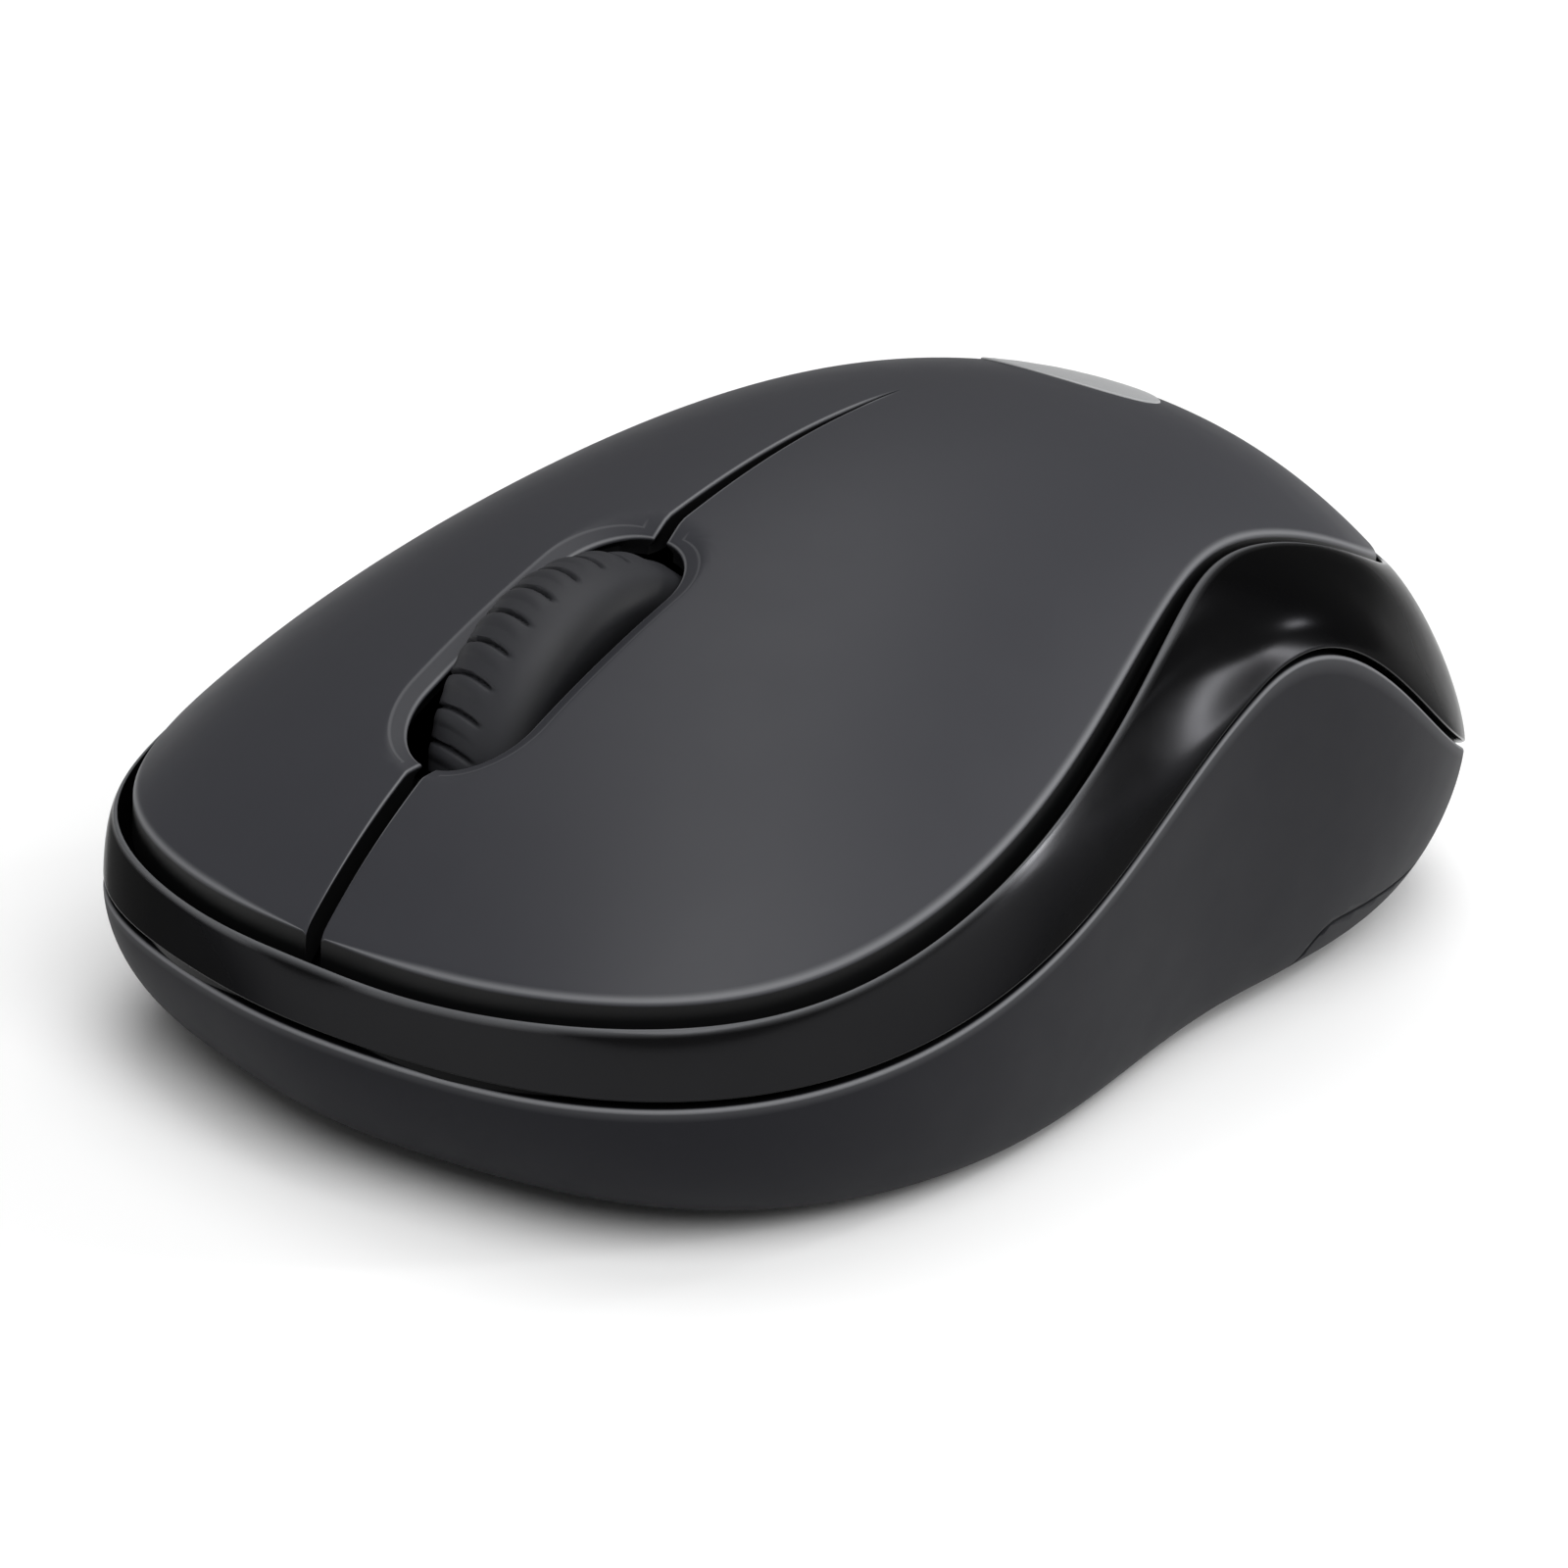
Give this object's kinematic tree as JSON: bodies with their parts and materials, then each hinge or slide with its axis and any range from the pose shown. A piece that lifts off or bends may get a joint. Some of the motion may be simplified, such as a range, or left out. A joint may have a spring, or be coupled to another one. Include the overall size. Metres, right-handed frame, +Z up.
{
  "type": "computer mouse",
  "caption": "Compact cordless computer mouse: domed top with click buttons, a scroll wheel, a gloss side band and a sliding battery door underneath.",
  "frame": {"origin": "middle of the mouse in plan, on the surface that its glide feet rest on", "axes": "+Z up, the nose with the buttons towards -Y, the tail towards +Y, the thumb side of a right-handed user towards +X"},
  "size_m": [0.0596, 0.1002, 0.0385],
  "materials": {
    "cover_plastic": "fine matte texture",
    "case_plastic": "satin",
    "gloss_band": "gloss",
    "wheel_rubber": "soft matte",
    "inner_plastic": "moulded",
    "glide_foot": "waxy",
    "label_film": "plain film",
    "steel": "plated",
    "switch_housing": "moulded",
    "plunger_plastic": "moulded",
    "slider_key": "moulded",
    "cell_wrap": "printed film, plain",
    "board_laminate": "solder mask",
    "chip": "moulded resin",
    "clear_lens": "clear"
  },
  "bodies": {
    "case": {"bottom_case": "case_plastic", "side_band": "gloss_band", "palm_cover": "cover_plastic", "foot_front": "glide_foot", "case_screw_left": "steel", "case_screw_right": "steel", "cradle_pin": "steel", "power_switch_body": "switch_housing", "battery_cell": "cell_wrap", "battery_spring": "steel", "battery_contact": "steel", "receiver_cap": "case_plastic", "receiver_plug": "steel", "circuit_board": "board_laminate", "left_switch_body": "switch_housing", "right_switch_body": "switch_housing", "middle_switch_body": "switch_housing", "board_screw_left": "steel", "board_screw_right": "steel", "encoder_emitter": "clear_lens", "encoder_receiver": "chip", "optical_sensor": "chip", "sensor_lens": "clear_lens", "tracking_lamp": "clear_lens", "radio_chip": "chip", "crystal_can": "steel", "power_capacitor": "chip"},
    "left_button": {"left_button": "cover_plastic"},
    "right_button": {"right_button": "cover_plastic"},
    "left_plunger": {"left_switch_plunger": "plunger_plastic"},
    "right_plunger": {"right_switch_plunger": "plunger_plastic"},
    "wheel_carrier": {"wheel_cradle": "inner_plastic", "detent_spring": "steel"},
    "middle_plunger": {"middle_switch_plunger": "plunger_plastic"},
    "wheel": {"wheel_hub": "inner_plastic", "wheel_tyre": "wheel_rubber"},
    "power_slider": {"power_slider": "slider_key"},
    "battery_door": {"battery_door": "case_plastic", "foot_rear_left": "glide_foot", "foot_rear_right": "glide_foot", "rating_label": "label_film"}
  },
  "joints": [
    {"name": "left_click", "type": "hinge", "parent": "case", "child": "left_button", "pos_m": [0, 0.00235, 0.0375], "axis": [1, 0, 0], "range_deg": [0, 0.9], "stiffness_Nm_per_rad": 1.5, "springref_deg": -0.11},
    {"name": "right_click", "type": "hinge", "parent": "case", "child": "right_button", "pos_m": [0, 0.00235, 0.0375], "axis": [1, 0, 0], "range_deg": [0, 0.9], "stiffness_Nm_per_rad": 1.5, "springref_deg": -0.11},
    {"name": "left_plunger_slide", "type": "slide", "parent": "case", "child": "left_plunger", "axis": [0, 0, -1], "range_m": [0, 0.0007]},
    {"name": "right_plunger_slide", "type": "slide", "parent": "case", "child": "right_plunger", "axis": [0, 0, -1], "range_m": [0, 0.0007]},
    {"name": "wheel_press", "type": "hinge", "parent": "case", "child": "wheel_carrier", "pos_m": [0, -0.01105, 0.02057], "axis": [1, 0, 0], "range_deg": [0, 2.3], "stiffness_Nm_per_rad": 0.22, "springref_deg": -0.57},
    {"name": "middle_plunger_slide", "type": "slide", "parent": "case", "child": "middle_plunger", "axis": [0, 0, -1], "range_m": [0, 0.0007]},
    {"name": "wheel_spin", "type": "hinge", "parent": "wheel_carrier", "child": "wheel", "pos_m": [0, -0.02569, 0.02127], "axis": [1, 0, 0], "continuous": true},
    {"name": "power_switch", "type": "slide", "parent": "case", "child": "power_slider", "axis": [0, 1, 0], "range_m": [0, 0.0026]},
    {"name": "battery_door_slide", "type": "slide", "parent": "case", "child": "battery_door", "axis": [0, 1, 0], "range_m": [0, 0.055]}
  ],
  "couplings": [
    {"joint": "left_plunger_slide", "follows": "left_click", "m_per_rad": 0.0344},
    {"joint": "right_plunger_slide", "follows": "right_click", "m_per_rad": 0.0344},
    {"joint": "middle_plunger_slide", "follows": "wheel_press", "m_per_rad": 0.01464}
  ]
}
